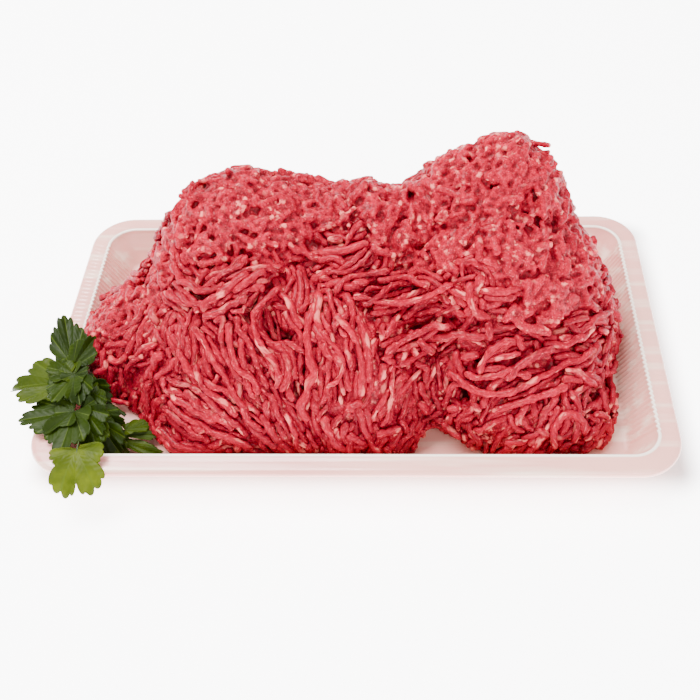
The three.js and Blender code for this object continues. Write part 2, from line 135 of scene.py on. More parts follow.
tray_mesh = bmesh.new()
# This layer marks the raised line on the rim's inner edge, which gets a painted highlight.
crest_highlight_layer = tray_mesh.verts.layers.float.new("crest")
bmesh.ops.create_grid(tray_mesh, x_segments=len(tray_stations) - 1,
                      y_segments=len(tray_section) - 1, size=1.0)
for point in tray_mesh.verts:
    station = tray_stations[round((point.co.x + 1) / 2 * (len(tray_stations) - 1))]
    inset, height, fluted = tray_section[round((point.co.y + 1) / 2 * (len(tray_section) - 1))]
    ripple = 0.0
    if station[0] % 2 == 0 and station[1] == "straight":
        ripple = fluted * math.cos(station[2] * flute_count * 2 * math.pi)
    x, y = tray_edge(station, inset + flute_relief * ripple)
    height += crest_ripple * ripple if height > rim_level else 0.0
    point[crest_highlight_layer] = 1.0 if crest_start < inset < crest_end else 0.0
    point.co = Vector((x, y, height)) / 1000
bmesh.ops.remove_doubles(tray_mesh, verts=tray_mesh.verts, dist=1e-6)
bmesh.ops.holes_fill(tray_mesh, edges=tray_mesh.edges, sides=0)
bmesh.ops.recalc_face_normals(tray_mesh, faces=tray_mesh.faces)
for face in tray_mesh.faces:
    face.smooth = True
tray_data = mesh_data("tray_shell", tray_mesh)
tray = new_object("tray_shell", tray_data)


def new_finish(name, roughness, specular=0.5):
    finish = bpy.data.materials.new(name)
    finish.use_nodes = True
    shader = finish.node_tree.nodes["Principled BSDF"]
    shader.inputs["Roughness"].default_value = roughness
    shader.inputs["Specular IOR Level"].default_value = specular
    return finish, shader


def feed(finish, socket, value):
    if isinstance(value, bpy.types.NodeSocket):
        finish.node_tree.links.new(value, socket)
    elif socket.type == "RGBA":
        socket.default_value = (*value, 1.0)
    else:
        socket.default_value = value


def set_inputs(finish, node, **inputs):
    for name, value in inputs.items():
        feed(finish, node.inputs[name.replace("_", " ")], value)


def add_node(finish, kind, settings=None, **inputs):
    node = finish.node_tree.nodes.new(kind)
    for name, value in (settings or {}).items():
        setattr(node, name, value)
    set_inputs(finish, node, **inputs)
    return node


def object_place(finish):
    return add_node(finish, "ShaderNodeTexCoord").outputs["Object"]


def attribute_node(finish, label, result="Fac"):
    return add_node(finish, "ShaderNodeAttribute", {"attribute_name": label}).outputs[result]


def noise_node(finish, place, scale, detail=2.0, roughness=0.5, result="Fac"):
    noise = add_node(finish, "ShaderNodeTexNoise", Vector=place, Scale=scale, Detail=detail,
                     Roughness=roughness)
    return noise.outputs[result]


def range_node(finish, source, low, high, start, end):
    spread = add_node(finish, "ShaderNodeMapRange", Value=source, From_Min=low, From_Max=high,
                      To_Min=start, To_Max=end)
    return spread.outputs["Result"]


def math_node(finish, operation, *values, kind="ShaderNodeMath", result="Value"):
    sums = add_node(finish, kind, {"operation": operation})
    for socket, value in zip(sums.inputs, values):
        feed(finish, socket, value)
    return sums.outputs[result]


def bump_node(finish, height, strength, distance, **inputs):
    bump = add_node(finish, "ShaderNodeBump", Height=height, Strength=strength, Distance=distance,
                    **inputs)
    return bump.outputs["Normal"]


def ramp_node(finish, source, stops):
    ramp = add_node(finish, "ShaderNodeValToRGB", Fac=source)
    bar = ramp.color_ramp
    while len(bar.elements) < len(stops):
        bar.elements.new(0.5)
    for element, (place, colour) in zip(bar.elements, stops):
        element.position = place
        element.color = (*colour, 1.0)
    return ramp.outputs["Color"]


def mix_node(finish, share, first, second):
    mix = add_node(finish, "ShaderNodeMix", {"data_type": "RGBA"}, Factor=share)
    colours = [socket for socket in mix.inputs if socket.type == "RGBA"]
    feed(finish, colours[0], first)
    feed(finish, colours[1], second)
    return [socket for socket in mix.outputs if socket.type == "RGBA"][0]


foam_finish, foam_shader = new_finish("pressed_foam", 0.34)
foam_place = object_place(foam_finish)
foam_cloud = noise_node(foam_finish, foam_place, 9.0, 3.0)
foam_colour = ramp_node(foam_finish, foam_cloud,
                        [(0.3, (0.73, 0.29, 0.26)), (0.7, (0.85, 0.42, 0.35))])
foam_stretch = add_node(foam_finish, "ShaderNodeMapping", Vector=foam_place,
                        Scale=(6.0, 110.0, 110.0))
foam_streaks = noise_node(foam_finish, foam_stretch.outputs["Vector"], 1.0, 4.0)
# Painted sheen: pale glossy streaks, stretched along the tray, are mixed into the foam's colour; the same
# streaks also give the surface a real bump.
foam_painted_sheen = range_node(foam_finish, foam_streaks, 0.5, 0.68, 0.0, 0.75)
foam_colour = mix_node(foam_finish, foam_painted_sheen, foam_colour, (0.94, 0.74, 0.60))
# Painted highlight: the raised line on the rim's inner edge is coloured pale, as if it caught the light.
foam_painted_highlight = attribute_node(foam_finish, "crest")
foam_colour = mix_node(foam_finish, foam_painted_highlight, foam_colour, (0.96, 0.84, 0.74))
foam_cells = add_node(foam_finish, "ShaderNodeTexVoronoi", Vector=foam_place, Scale=900.0)
foam_grain = bump_node(foam_finish, foam_cells.outputs["Distance"], 0.12, 0.0003)
foam_bump = bump_node(foam_finish, foam_streaks, 0.5, 0.0014, Normal=foam_grain)
set_inputs(foam_finish, foam_shader, Base_Color=foam_colour, Normal=foam_bump, Coat_Weight=0.5,
           Coat_Roughness=0.12)
tray_data.materials.append(foam_finish)
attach(tray, "root")
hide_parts("foam_tray")

# Body of the heap
# The mince under the top strands, packed together by its own weight: one dark red, lumpy mass
# that rests on the tray's floor. It shows in the gaps between the strands, and the crumbly
# mince on top is one with it.
mound_blend = 9.0
heap_floor = 4.35
# A mound has its middle and its three half widths.
mounds = np.array([
    (-126, -2, 6, 38, 40, 40), (-146, 2, 16, 24, 28, 24), (-101, 6, 8, 45, 52, 60),
    (-66, 30, 10, 60, 54, 108), (-32, 34, 10, 40, 42, 95), (-62, -18, 6, 72, 54, 78),
    (-56, -42, 6, 60, 42, 52), (8, 28, 10, 45, 52, 101), (2, -26, 6, 50, 52, 80),
    (2, -48, 4, 38, 36, 44), (65, 40, 10, 47, 42, 115), (92, 38, 10, 41, 42, 126),
    (80, -2, 8, 58, 56, 104), (92, -40, 4, 52, 40, 54), (118, -54, 4, 34, 28, 34),
    (120, 10, 6, 34, 50, 82), (134, 4, 6, 22, 34, 48), (-95, 30, 42, 20, 26, 46),
    (-93, -73, 4, 19, 14, 22),
], dtype=float)
# A clump has its middle, its strands' direction, their length, how far they stray from it, how
# far the clump stands out of the heap, and how torn and crumbly it is.
clumps = np.array([
    (-154, -9, 46, -0.8, 0.0, -0.6, 13, 0.9, 0, 0.8), (-149, -28, 40, -0.6, -0.2, -0.8, 20, 0.5, 0, 0.5),
    (-119, -34, 60, -0.5, -0.4, -0.7, 26, 0.35, 0, 0.35), (-120, -51, 40, -0.5, -0.2, -0.9, 26, 0.3, 0, 0.3),
    (-89, -46, 69, 0.1, -0.8, -0.6, 35, 0.25, 0, 0.3), (-57, -58, 66, 0.5, -0.6, -0.6, 60, 0.15, 3, 0.15),
    (-91, -72, 38, 0.8, -0.5, -0.3, 55, 0.12, 2, 0.1), (-75, -83, 19, 1.0, -0.2, -0.1, 45, 0.2, 0, 0.2),
    (-48, -81, 35, 0.5, -0.3, -0.8, 45, 0.15, 1, 0.15), (-114, -8, 75, -0.3, -0.8, -0.4, 12, 1.0, 0, 0.8),
    (-85, -1, 96, 0.1, -0.7, -0.7, 16, 0.8, 2, 0.7), (-92, -19, 82, 0.7, -0.7, 0.0, 28, 0.2, 5, 0.2),
    (-73, -22, 87, 0.8, 0.5, 0.3, 28, 0.2, 5, 0.2), (-79, 21, 115, 0.5, 0.8, 0.4, 12, 1.3, 0, 0.8),
    (-44, 25, 119, 0.5, -0.9, -0.2, 12, 1.2, 0, 0.8), (-44, 3, 104, 1.0, -0.1, -0.3, 18, 0.6, 0, 0.7),
    (-19, 19, 112, 0.5, -0.7, -0.5, 14, 1.0, 0, 0.8), (-7, -4, 95, 1.0, 0.1, 0.2, 30, 0.3, 2, 0.3),
    (-29, -28, 83, 0.1, -0.9, -0.3, 40, 0.25, 0, 0.2), (-26, -64, 60, -0.1, -0.7, -0.7, 55, 0.15, 0, 0.12),
    (-6, -48, 79, 0.3, -0.8, -0.5, 45, 0.2, 1, 0.15), (-1, -74, 50, -0.2, -0.5, -0.8, 50, 0.15, 0, 0.15),
    (25, -70, 44, -0.3, -0.6, -0.8, 45, 0.2, 0, 0.2), (27, -26, 81, 0.9, 0.5, -0.2, 55, 0.15, 2, 0.2),
    (36, -42, 68, 0.8, 0.6, 0.0, 45, 0.2, 1, 0.2), (7, 31, 113, 0.5, 0.8, -0.1, 12, 1.2, 0, 0.7),
    (28, 4, 99, 0.5, 0.7, 0.5, 16, 0.8, 0, 0.7), (50, 18, 117, 0.9, -0.1, 0.5, 18, 0.8, 0, 0.7),
    (45, -4, 98, 0.8, -0.5, 0.3, 20, 0.6, 0, 0.6), (56, 31, 131, 0.9, 0.0, 0.4, 14, 1.0, -2, 0.7),
    (95, 24, 136, 1.0, 0.0, 0.0, 12, 1.3, 3, 0.8), (109, 21, 128, 0.7, -0.1, -0.7, 16, 0.8, 3, 0.7),
    (83, -11, 112, 0.5, -0.8, -0.4, 16, 0.9, 0, 0.8), (109, -6, 104, 0.1, -0.9, -0.5, 25, 0.4, 0, 0.6),
    (138, -3, 81, 0.5, -0.3, -0.8, 14, 0.8, 0, 0.85), (66, -32, 94, 0.8, -0.5, -0.2, 25, 0.5, 0, 0.5),
    (106, -32, 86, 0.9, 0.4, -0.1, 18, 0.8, 0, 0.7), (83, -52, 67, 0.9, 0.2, 0.4, 30, 0.35, 2, 0.3),
    (118, -42, 64, 0.9, 0.4, -0.2, 45, 0.2, 1, 0.25), (137, -51, 43, 0.7, 0.6, -0.4, 30, 0.4, 0, 0.4),
    (100, -63, 53, 0.9, 0.3, 0.2, 55, 0.12, 3, 0.2), (84, -76, 34, 0.7, 0.2, 0.7, 45, 0.2, 0, 0.2),
    (107, -80, 29, 0.6, 0.4, 0.7, 35, 0.25, 0, 0.2), (127, -75, 32, 0.5, 0.6, 0.6, 25, 0.6, 1, 0.3),
    (143, -69, 24, 0.7, 0.5, -0.5, 18, 0.7, 0, 0.5), (50, -57, 46, -0.1, -0.5, -0.8, 25, 0.4, 0, 0.3),
    (59, -69, 29, -0.3, -0.3, -0.9, 16, 0.6, 0, 0.4), (-10, -86, 25, 0.2, -0.3, -0.9, 40, 0.2, 0, 0.2),
    (24, -78, 25, -0.3, -0.4, -0.8, 25, 0.4, 0, 0.4), (-140, 30, 50, -0.6, 0.4, -0.7, 22, 0.4, 0, 0.4),
    (-110, 55, 60, -0.2, 0.7, -0.7, 35, 0.25, 1, 0.3), (-70, 80, 60, 0.0, 0.5, -0.9, 45, 0.2, 0, 0.2),
    (-75, 62, 100, 0.3, 0.6, -0.6, 16, 0.8, 2, 0.7), (-20, 78, 60, 0.2, 0.4, -0.9, 40, 0.2, 1, 0.2),
    (-30, 60, 100, -0.4, 0.7, -0.5, 14, 0.9, 0, 0.7), (20, 76, 62, -0.3, 0.5, -0.8, 45, 0.15, 0, 0.2),
    (60, 80, 72, 0.1, 0.5, -0.9, 45, 0.2, 2, 0.2), (55, 66, 115, -0.5, 0.5, -0.6, 16, 0.8, 0, 0.7),
    (100, 78, 70, 0.3, 0.4, -0.9, 40, 0.2, 0, 0.25), (105, 62, 115, 0.6, 0.4, -0.6, 18, 0.8, 2, 0.6),
    (135, 50, 60, 0.6, 0.3, -0.7, 25, 0.4, 0, 0.4), (152, 12, 50, 0.7, 0.0, -0.7, 22, 0.5, 0, 0.5),
    (-100, 76, 20, 0.9, 0.2, -0.2, 40, 0.2, 0, 0.2), (0, 88, 20, 0.8, 0.1, -0.5, 35, 0.25, 0, 0.2),
    (100, 88, 20, -0.9, 0.2, -0.3, 35, 0.25, 0, 0.2), (-60, 45, 118, 0.7, 0.7, 0.0, 12, 1.3, 0, 0.8),
    (0, 50, 110, 0.7, -0.7, 0.0, 12, 1.2, 0, 0.8), (75, 50, 138, 1.0, 0.2, 0.0, 12, 1.3, 2, 0.8),
], dtype=float)
clump_places, clump_ways, clump_facts = (np.ascontiguousarray(part)
                                         for part in np.split(clumps, (3, 6), axis=1))
clump_ways /= np.linalg.norm(clump_ways, axis=1, keepdims=True)
# A gap between clumps has its middle and its half width.
gaps = np.array([
    (-33, -47, 73, 5), (-26, -63, 61, 6), (-29, -70, 53, 5), (-9, -72, 54, 5), (-65, -78, 40, 5),
    (-47, -41, 78, 8), (-42, -46, 74, 7), (-102, -46, 64, 5), (-112, -49, 51, 5), (-87, -54, 64, 5),
    (-80, -28, 83, 7), (-90, -26, 80, 5), (-30, -6, 93, 6), (-38, -6, 94, 5), (-16, -57, 69, 4),
    (62, -65, 41, 8), (68, -56, 57, 5), (59, -40, 78, 5), (67, -42, 80, 5), (99, -41, 79, 5),
    (38, -38, 70, 5), (66, -23, 102, 5), (118, -39, 68, 5), (94, -35, 90, 4), (-36, 25, 118, 5),
    (23, 29, 111, 5), (17, 14, 109, 5), (10, 4, 103, 5), (4, 23, 112, 5), (13, -28, 86, 5),
    (53, -38, 76, 5), (76, 18, 127, 5), (100, 9, 118, 6), (140, -60, 35, 5), (111, -83, 23, 5),
    (46, -72, 6, 11), (56, -76, 8, 11), (52, -70, 16, 7), (62, -80, 5, 8),
], dtype=float)
clump_blend = 5.0
crease_most = 6.0
crease_width = 4.5
spine_half = 108.0
spine_height = 14.0
core_sink = 4.0
core_push_out = 2.2
core_search = 220.0
carve_past = 3
carve_share = 1.8
facing_step = 0.7
lump_cells = 32
inner_corner = 20
wall_foot = 26.0
wall_run = 12.0
wall_rise = 22.0
floor_level = 4.0
rim_clear = 26.6
rim_keep = 4.0


def heap_depth(places):
    offset = (places[:, None, :] - mounds[None, :, :3]) / mounds[None, :, 3:]
    reach = np.sqrt((offset ** 2).sum(-1))
    slope = np.sqrt(((offset / mounds[None, :, 3:]) ** 2).sum(-1)) + 1e-9
    distance = reach * (reach - 1) / slope
    return -mound_blend * np.log(np.exp(-np.clip(distance, -400, 400) / mound_blend).sum(-1))


def unit(ways):
    return ways / (np.linalg.norm(ways, axis=1, keepdims=True) + 1e-9)


def heap_facing(places):
    slopes = [heap_depth(places + step) - heap_depth(places - step)
              for step in np.eye(3) * facing_step]
    return unit(np.stack(slopes, axis=-1))


lump_table = np.random.default_rng(11).random((lump_cells, lump_cells, lump_cells))


def lumpy(places, size):
    scaled = places / size
    low = np.floor(scaled).astype(int)
    part = scaled - low
    part = part * part * (3 - 2 * part)
    total = np.zeros(len(places))
    for corner in range(8):
        step = np.array([corner & 1, corner >> 1 & 1, corner >> 2 & 1])
        weight = np.prod(np.where(step, part, 1 - part), axis=1)
        cell = (low + step) % lump_cells
        total += weight * lump_table[cell[:, 0], cell[:, 1], cell[:, 2]]
    return total * 2 - 1


def nearest_clump(places):
    away = np.linalg.norm(places[:, None, :] - clump_places[None], axis=2)
    away += clump_blend * lumpy(places, 14.0)[:, None] * np.cos(np.arange(len(clumps)) * 2.4)[None]
    return away, away.argmin(1)


def crease_depth(places):
    away, _ = nearest_clump(places)
    order = np.argpartition(away, 2, axis=1)[:, :3]
    order = np.take_along_axis(order, np.argsort(np.take_along_axis(away, order, 1), 1), 1)[:, :2]
    lead = np.take_along_axis(away, order, axis=1)
    cross = 1 - np.abs((clump_ways[order[:, 0]] * clump_ways[order[:, 1]]).sum(1))
    near_edge = np.exp(-(lead[:, 1] - lead[:, 0]) / crease_width)
    return crease_most * near_edge * np.minimum(0.25 + cross, 1.0)


def crumbly_share(places):
    away, _ = nearest_clump(places)
    share = np.exp(-(away - away.min(1, keepdims=True)) / 4.0)
    return share @ clump_facts[:, 3] / share.sum(1)


def keep_in_tray(places, width):
    reach = np.array([tray_length / 2 - inner_corner, tray_depth / 2 - inner_corner])
    beyond = np.abs(places[:, :2]) - reach
    outside = np.maximum(beyond, 0)
    inset = inner_corner - np.linalg.norm(outside, axis=1) - np.minimum(beyond.max(1), 0)
    wall = wall_foot - (places[:, 2] - floor_level) / wall_rise * wall_run
    least = np.where(places[:, 2] < rim_clear + width, wall + width, rim_keep)
    push = np.maximum(least - inset, 0)
    towards = np.where((outside.sum(1) > 0)[:, None], outside, beyond == beyond.max(1)[:, None])
    places[:, :2] -= np.sign(places[:, :2]) * unit(towards) * push[:, None]
    places[:, 2] = np.maximum(places[:, 2], heap_floor + width)
    return places


def read_points(data, kind):
    values = np.zeros(len(data.vertices) * 3)
    data.vertices.foreach_get(kind, values)
    return values.reshape(-1, 3)


def set_points(data, places):
    data.vertices.foreach_set("co", (places / 1000).ravel())


core_mesh = bmesh.new()
bmesh.ops.create_uvsphere(core_mesh, u_segments=200, v_segments=140, radius=1.0)
bmesh.ops.rotate(core_mesh, matrix=Matrix.Rotation(math.pi / 2, 3, "Y"), verts=core_mesh.verts)
core_data = mesh_data("mince_core", core_mesh)
directions = read_points(core_data, "co")
starts = np.stack([directions[:, 0] * spine_half, directions[:, 0] * 0,
                   directions[:, 0] * 0 + spine_height], axis=-1)
near = np.zeros(len(directions))
far = np.full(len(directions), core_search)
for _ in range(14):
    middle = (near + far) / 2
    inside = heap_depth(starts + directions * middle[:, None]) < -core_sink
    near = np.where(inside, middle, near)
    far = np.where(inside, far, middle)
core_places = starts + directions * near[:, None]
core_crumbly = crumbly_share(core_places)
core_push = 0.9 * np.clip(core_crumbly - 0.25, 0, 0.5) / 0.5 + core_push_out
core_push += 1.5 * lumpy(core_places, 6.5) + 1.3 * lumpy(core_places + 50, 3.4)
core_push -= 0.8 * crease_depth(core_places)
core_places = core_places + heap_facing(core_places) * core_push[:, None]
for gap in gaps:
    offset = core_places - gap[:3]
    near_gap = np.linalg.norm(offset, axis=1)
    inside = near_gap < gap[3] + carve_past
    sink = carve_share * (gap[3] + carve_past - near_gap[inside])
    core_places[inside] -= heap_facing(core_places[inside]) * sink[:, None]
core_places = keep_in_tray(core_places, 0.0)
set_points(core_data, core_places)

# Strands of mince
# Soft strands of beef and fat, about four millimetres thick, as they fall from the mincer in
# clumps: long ones lie side by side and hang down the heap's sides, short torn ones lie on top.
long_strands = [
    ((56, -55, 51), (62, -59, 49), (70, -66, 46), (84, -68, 48), (101, -64, 52), (137, -40, 52)),
    ((73, -59, 56), (76, -54, 64), (81, -50, 69), (92, -48, 72)),
    ((74, -55, 60), (81, -54, 64), (95, -52, 66)),
    ((115, -84, 20), (112, -80, 28), (113, -77, 34), (121, -72, 39), (129, -73, 34), (132, -78, 24)),
    ((-72, -26, 85), (-63, -40, 79), (-52, -50, 71), (-43, -60, 63), (-40, -65, 58)),
    ((2, -32, 87), (22, -33, 83), (39, -28, 82), (58, -27, 93)),
    ((-18, -5, 95), (-4, -3, 97), (10, -1, 99)),
    ((-124, -51, 36), (-123, -57, 23), (-108, -71, 12)),
]
strand_radius = 2.1
strand_step = 2.3
strand_layers = 3.5
strand_apart = 2 * strand_radius * 0.92
strand_seeds = 260000
heap_area = 110000.0
heap_low = (-182.0, -100.0, 4.0)
heap_high = (182.0, 100.0, 152.0)
seed_band = 2.5
layer_shares = (0.34, 0.7)
layer_lifts = (-5.2, -3.0, -1.1)
buried = -4
scrap_share = 0.05
long_lift = 2.2
lift_play = 1.6
settle_rounds = 15
settle_top = 145.0
push_share = 1.3
link_share = 0.45
bend_share = 0.25
hold_share = 0.4
clear_share = 0.6
strand_top = 147.0
long_tone = 1.15
spikes = np.array([(92, 38, 136), (112, 36, 126), (-128, 15, 68), (4, 42, 111), (-91, 32, 108)])
spike_reach = 9
spike_rise = 5.0
loose_rise = 3.5
loose_share = 0.12
upper_lift = -2.2
thin_share = 0.18
open_share = 0.95
tube_sides = 8
pasty_from = 0.5
far_end = 999.0
dice = np.random.default_rng(5)


def surface_places(count):
    low = np.array(heap_low)
    places = low + dice.random((count, 3)) * (np.array(heap_high) - low)
    places = places[np.abs(heap_depth(places)) < seed_band]
    for _ in range(3):
        places -= heap_facing(places) * heap_depth(places)[:, None]
    return places[places[:, 2] > 5.0]


def strand_way(places, facing):
    away, first = nearest_clump(places)
    share = np.exp(-(away - away.min(1, keepdims=True)) / 3.0)
    same = np.sign(np.einsum("ij,kj->ik", clump_ways[first], clump_ways) + 1e-6)
    way = (share * same) @ clump_ways
    way -= facing * (way * facing).sum(1, keepdims=True)
    return unit(way)


def lay_strands():
    seeds = surface_places(strand_seeds)
    _, own = nearest_clump(seeds)
    wanted = clump_facts[own, 0]
    chance = heap_area / len(seeds) * strand_layers / (wanted * strand_radius * 2)
    chosen = dice.random(len(seeds)) < chance
    seeds, own = seeds[chosen], own[chosen]
    facts = clump_facts[own]
    count = len(seeds)
    length = facts[:, 0] * (0.6 + 0.7 * dice.random(count))
    crumbly = facts[:, 3]
    lay = dice.random(count)
    lay = np.where(lay < layer_shares[0], layer_lifts[0],
                   np.where(lay < layer_shares[1], layer_lifts[1], layer_lifts[2]))
    lay = np.where(crumbly > 0.55, lay * 0.75 - 0.2, lay)
    lift = lay + facts[:, 2] * (lay > buried) + 0.5 * dice.standard_normal(count)
    lift += 1.5 * lumpy(seeds, 11.0) - crease_depth(seeds)
    scrap = dice.random(count) < scrap_share * length / 14
    length = np.where(scrap, 7 + 8 * dice.random(count), length)
    lift = np.where(scrap, lift * 0.3 + 0.4, lift)
    stray = 1.15 * facts[:, 1] * dice.standard_normal(count)
    stray = np.where(scrap, 1.3 * dice.standard_normal(count), stray)
    bend = facts[:, 1] * dice.standard_normal(count) * 0.12
    steps = np.maximum(np.round(length / strand_step).astype(int), 3)
    half = steps.max() // 2 + 1
    route = np.zeros((count, 2 * half + 1, 3))
    for way_sign in (1, -1):
        place = seeds.copy()
        turn = stray.copy()
        facing = heap_facing(place)
        place += facing * (lift - heap_depth(place))[:, None]
        route[:, half] = place
        for i in range(1, half + 1):
            facing = heap_facing(place)
            way = strand_way(place, facing) * way_sign
            across = np.cross(facing, way)
            way = way * np.cos(turn)[:, None] + across * np.sin(turn)[:, None]
            place = place + way * strand_step
            place -= heap_facing(place) * ((heap_depth(place) - lift) * 0.8)[:, None]
            turn = turn + bend * way_sign + (0.06 + facts[:, 1] * 0.14) * dice.standard_normal(count)
            route[:, half + way_sign * i] = place
    owner, points = [], []
    for k in range(count):
        back = steps[k] // 2
        points.append(route[k, half - back:half - back + steps[k] + 1])
        owner.append(np.full(steps[k] + 1, k))
    for route in long_strands:
        corner = np.array(route, dtype=float)
        run = np.concatenate([[0], np.cumsum(np.linalg.norm(np.diff(corner, axis=0), axis=1))])
        steps = int(run[-1] / strand_step)
        at = np.linspace(0, run[-1], steps + 1)
        path = np.stack([np.interp(at, run, corner[:, axis]) for axis in range(3)], axis=1)
        path += heap_facing(path) * 1.2
        owner.append(np.full(len(path), count))
        points.append(path)
        count += 1
        lift = np.append(lift, long_lift)
        crumbly = np.append(crumbly, 0.0)
    return np.concatenate(points), np.concatenate(owner), lift, crumbly


def close_pairs(places, owner, reach):
    cell = np.floor(places / reach).astype(np.int64)
    cell -= cell.min(0) - 1
    span = cell.max(0) + 2
    key = (cell[:, 0] * span[1] + cell[:, 1]) * span[2] + cell[:, 2]
    order = np.argsort(key, kind="stable")
    key = key[order]
    count = len(key)
    first, second = [], []
    for dx in (0, 1):
        for dy in (-1, 0, 1):
            for dz in (-1, 0, 1):
                step = (dx * span[1] + dy) * span[2] + dz
                if step < 0:
                    continue
                low = np.searchsorted(key, key + step, "left")
                high = np.searchsorted(key, key + step, "right")
                if step == 0:
                    low = np.arange(count) + 1
                many = np.maximum(high - low, 0)
                i = np.repeat(np.arange(count), many)
                j = np.arange(many.sum()) + np.repeat(low - np.cumsum(many) + many, many)
                first.append(order[i])
                second.append(order[j])
    first, second = np.concatenate(first), np.concatenate(second)
    other = owner[first] != owner[second]
    return first[other], second[other]


def settle(places, owner, lift, rounds):
    same = owner[1:] == owner[:-1]
    links = np.nonzero(same)[0]
    inner = np.nonzero(same[1:] & same[:-1])[0] + 1
    count = len(places)
    wish = lift[owner]
    for _ in range(rounds):
        first, second = close_pairs(places, owner, strand_apart)
        apart = places[second] - places[first]
        distance = np.linalg.norm(apart, axis=1) + 1e-6
        short = np.maximum(strand_apart - distance, 0)
        push = apart / distance[:, None] * (short / 2)[:, None]
        hits = np.bincount(first, short > 0, count) + np.bincount(second, short > 0, count)
        for axis in range(3):
            shift = np.bincount(second, push[:, axis], count)
            shift -= np.bincount(first, push[:, axis], count)
            places[:, axis] += shift / np.maximum(hits, 1) * push_share
        link = places[links + 1] - places[links]
        long = np.linalg.norm(link, axis=1) + 1e-6
        fix = link * ((long - strand_step) / long * link_share)[:, None]
        places[links] += fix
        places[links + 1] -= fix
        middle = (places[inner - 1] + places[inner + 1]) / 2
        places[inner] += (middle - places[inner]) * bend_share
        depth = heap_depth(places)
        goal = np.clip(depth, wish - lift_play, wish + lift_play)
        places += heap_facing(places) * ((goal - depth) * hold_share)[:, None]
        for gap in gaps:
            offset = places - gap[:3]
            near_gap = np.linalg.norm(offset, axis=1)
            inside = near_gap < gap[3]
            away = (gap[3] / near_gap[inside]) - 1
            places[inside] += offset[inside] * away[:, None] * clear_share
        places = keep_in_tray(places, strand_radius)
        places[:, 2] = np.minimum(places[:, 2], settle_top)
    return places


strand_places, strand_owner, strand_lift, strand_crumbly = lay_strands()
strand_places = settle(strand_places, strand_owner, strand_lift, settle_rounds)
strand_tone = dice.random(len(strand_lift))
strand_tone[-len(long_strands):] = long_tone
bounds = np.searchsorted(strand_owner, np.arange(strand_owner.max() + 2))
for k in range(len(strand_lift) - len(long_strands)):
    run = slice(bounds[k], bounds[k + 1])
    end = strand_places[bounds[k + 1] - 1]
    spiky = np.linalg.norm(spikes - end, axis=1).min() < spike_reach
    upper = strand_lift[k] > upper_lift
    loose = upper and strand_crumbly[k] > 0.35 and dice.random() < loose_share
    if loose or spiky and upper:
        ramp = np.linspace(0, 1, bounds[k + 1] - bounds[k]) ** 2
        rise = (spike_rise if spiky else loose_rise) * (0.4 + 0.6 * dice.random())
        facing = heap_facing(strand_places[run]) + np.array([0, 0, 0.5])
        strand_places[run] += facing * (ramp * rise)[:, None]
strand_places[:, 2] = np.minimum(strand_places[:, 2], strand_top)
away = np.linalg.norm(strand_places[:, None] - gaps[None, :, :3], axis=2)
strand_open = (away > gaps[None, :, 3] * open_share).all(1)


def final_mesh(holder):
    graph = bpy.context.evaluated_depsgraph_get()
    data = bpy.data.meshes.new_from_object(holder.evaluated_get(graph))
    bpy.data.objects.remove(holder)
    return data


def strand_tubes(name, chosen):
    tubes = bpy.data.curves.new(name, "CURVE")
    tubes.dimensions = "3D"
    tubes.bevel_mode = "ROUND"
    tubes.bevel_depth = 0.001
    tubes.bevel_resolution = 2
    tone, along, middle, way, shift = [], [], [], [], []
    for k in chosen:
        shown = strand_open[bounds[k]:bounds[k + 1]]
        breaks = np.nonzero(~shown)[0]
        runs = list(zip(np.concatenate([[-1], breaks]), np.concatenate([breaks, [len(shown)]])))
        first, last = max(runs, key=lambda run: run[1] - run[0])
        if last - first < 4:
            continue
        places = strand_places[bounds[k] + first + 1:bounds[k] + last]
        count = len(places)
        thick = strand_radius * np.clip(1 + 0.12 * dice.standard_normal(), 0.7, 1.2)
        thick *= 0.7 if dice.random() < thin_share else 1.0
        knobs = 1 + 0.11 * dice.standard_normal(count) + 0.14 * lumpy(places, 5.0)
        radius = thick * np.clip(knobs, 0.66, 1.28)
        radius[0] *= 0.85
        radius[-1] *= 0.8
        start = places[0] + (places[0] - places[1]) * 0.35
        end = places[-1] + (places[-1] - places[-2]) * 0.35
        places = np.vstack([start, places, end])
        radius = np.concatenate([[radius[0] * 0.5], radius, [radius[-1] * 0.45]])
        spline = tubes.splines.new("POLY")
        spline.points.add(count + 1)
        spline.points.foreach_set("co", np.hstack([places / 1000, np.ones((count + 2, 1))]).ravel())
        spline.points.foreach_set("radius", radius)
        tone.append(np.full(count + 2, strand_tone[k]))
        along.append(np.arange(count + 2) * strand_step)
        middle.append(places)
        reach = end - start
        way.append(np.tile(reach / (np.linalg.norm(reach) + 1e-6), (count + 2, 1)))
        shift.append(np.tile(dice.random(3) * 400, (count + 2, 1)))
    data = final_mesh(new_object(name, tubes))
    bpy.data.curves.remove(tubes)
    data.name = name
    return data, [np.concatenate(values) for values in (tone, along, middle, way, shift)]


def set_values(data, label, values):
    kind = "FLOAT" if values.ndim == 1 else "FLOAT_VECTOR"
    attribute = data.attributes.new(label, kind, "POINT")
    attribute.data.foreach_set("value" if values.ndim == 1 else "vector",
                               np.asarray(values, dtype=np.float32).ravel())


meat_finish, meat_shader = new_finish("fresh_mince", 0.52, 0.05)
meat_tone = attribute_node(meat_finish, "tone")
meat_depth_shading = attribute_node(meat_finish, "depth")
meat_ridge = attribute_node(meat_finish, "ridge")
meat_paste = attribute_node(meat_finish, "paste")
meat_fibre = attribute_node(meat_finish, "fibre", "Vector")


def meat_noise(scale, detail, result="Fac"):
    return noise_node(meat_finish, meat_fibre, scale, detail, 0.7, result)


def meat_range(source, low, high, start, end):
    return range_node(meat_finish, source, low, high, start, end)


def meat_math(operation, *values):
    return math_node(meat_finish, operation, *values)


fat_place = math_node(meat_finish, "MULTIPLY_ADD", meat_noise(0.5, 1.0, "Color"), (3.4, 3.4, 3.4),
                      meat_fibre, kind="ShaderNodeVectorMath", result="Vector")


